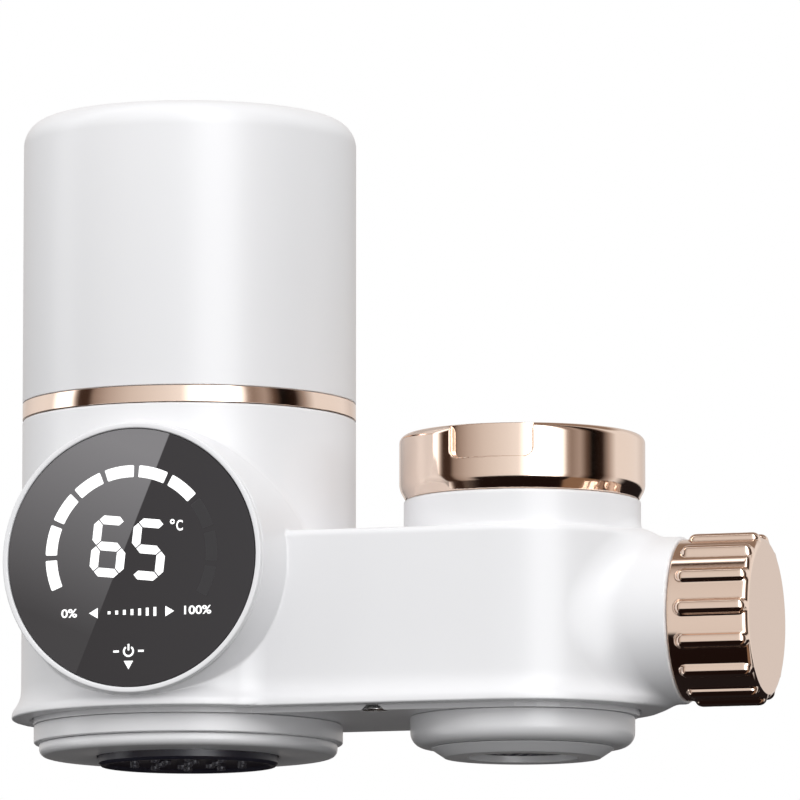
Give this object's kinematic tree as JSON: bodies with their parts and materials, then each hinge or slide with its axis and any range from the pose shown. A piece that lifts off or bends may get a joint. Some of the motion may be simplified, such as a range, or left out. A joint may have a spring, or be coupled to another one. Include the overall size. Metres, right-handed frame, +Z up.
{
  "type": "faucet mount water filter",
  "caption": "Tap-mounted water filter: an upright filter column with a round display, an arm with a screw nut for the tap, a stream outlet and a ribbed diverter knob.",
  "frame": {"origin": "middle of the underside of the whole part, on the plane that its two outlets stand on", "axes": "+X from the filter column to the tap connector and the knob, -Y towards the display, +Z up"},
  "size_m": [0.1572, 0.074, 0.1323],
  "materials": {
    "white_shell": "smooth glossy white moulded plastic",
    "inner_plastic": "satin white moulded plastic",
    "bowl_plastic": "frosted grey moulded plastic",
    "cap_plastic": "grey moulded plastic",
    "nozzle_plastic": "dark grey moulded plastic",
    "black_plastic": "black moulded plastic",
    "turbine_plastic": "blue moulded plastic",
    "rose_gold": "polished rose gold plating",
    "brass": "turned brass",
    "steel": "stainless steel",
    "rubber": "black sealing rubber",
    "felt": "melt-blown sediment felt",
    "carbon": "pressed carbon block",
    "dark_glass": "smoked display window",
    "board": "green circuit board"
  },
  "bodies": {
    "root": {"casing": "white_shell", "bottom_cover": "white_shell", "bottom_screw_1": "steel", "bottom_screw_2": "steel", "filter_bowl": "bowl_plastic", "cover_seal": "rubber", "cartridge_base": "cap_plastic", "cartridge_cap": "cap_plastic", "carbon_block": "carbon", "sediment_sleeve": "felt", "spigot_seal_1": "rubber", "spigot_seal_2": "rubber", "outlet_collar": "white_shell", "outlet_ring": "white_shell", "spray_plate": "nozzle_plastic", "spray_gasket": "rubber", "stream_ring": "white_shell", "stream_nozzle": "white_shell", "aerator_insert": "nozzle_plastic", "aerator_washer": "rubber", "outlet_gasket": "rubber", "display_bezel": "white_shell", "display_lens": "dark_glass", "light_mask": "black_plastic", "circuit_board": "board", "button_cell": "steel", "cell_clip": "steel", "temperature_probe": "steel", "valve_body": "inner_plastic", "crossover_seal": "rubber", "turbine_carrier_inlet": "cap_plastic", "turbine_carrier_outlet": "cap_plastic", "turbine_axle": "steel", "tap_adapter": "brass", "adapter_seal": "rubber", "inlet_screen": "steel", "inlet_washer": "rubber", "spool_retainer": "cap_plastic"},
    "trim": {"trim_ring": "rose_gold"},
    "cover": {"filter_cover": "white_shell"},
    "nut": {"coupling_nut": "rose_gold"},
    "diverter": {"diverter_knob": "rose_gold", "diverter_spool": "cap_plastic", "spool_seal_1": "rubber", "spool_seal_2": "rubber", "spool_seal_3": "rubber", "spindle_clip": "steel"},
    "turbine": {"flow_turbine": "turbine_plastic"}
  },
  "joints": [
    {"name": "cover_turn", "type": "hinge", "parent": "root", "child": "trim", "pos_m": [-0.0426, 0.001, 0.0721], "axis": [0, 0, 1], "range_deg": [0, 540]},
    {"name": "cover_lift", "type": "slide", "parent": "trim", "child": "cover", "axis": [0, 0, 1], "range_m": [0, 0.055]},
    {"name": "nut_turn", "type": "hinge", "parent": "root", "child": "nut", "pos_m": [0.0279, 0.001, 0.0585], "axis": [0, 0, 1], "range_deg": [0, 720]},
    {"name": "knob_turn", "type": "hinge", "parent": "root", "child": "diverter", "pos_m": [0.0279, 0.001, 0.0268], "axis": [1, 0, 0], "range_deg": [-90, 90]},
    {"name": "turbine_spin", "type": "hinge", "parent": "root", "child": "turbine", "pos_m": [0.0279, 0.001, 0.0268], "axis": [1, 0, 0], "continuous": true}
  ]
}
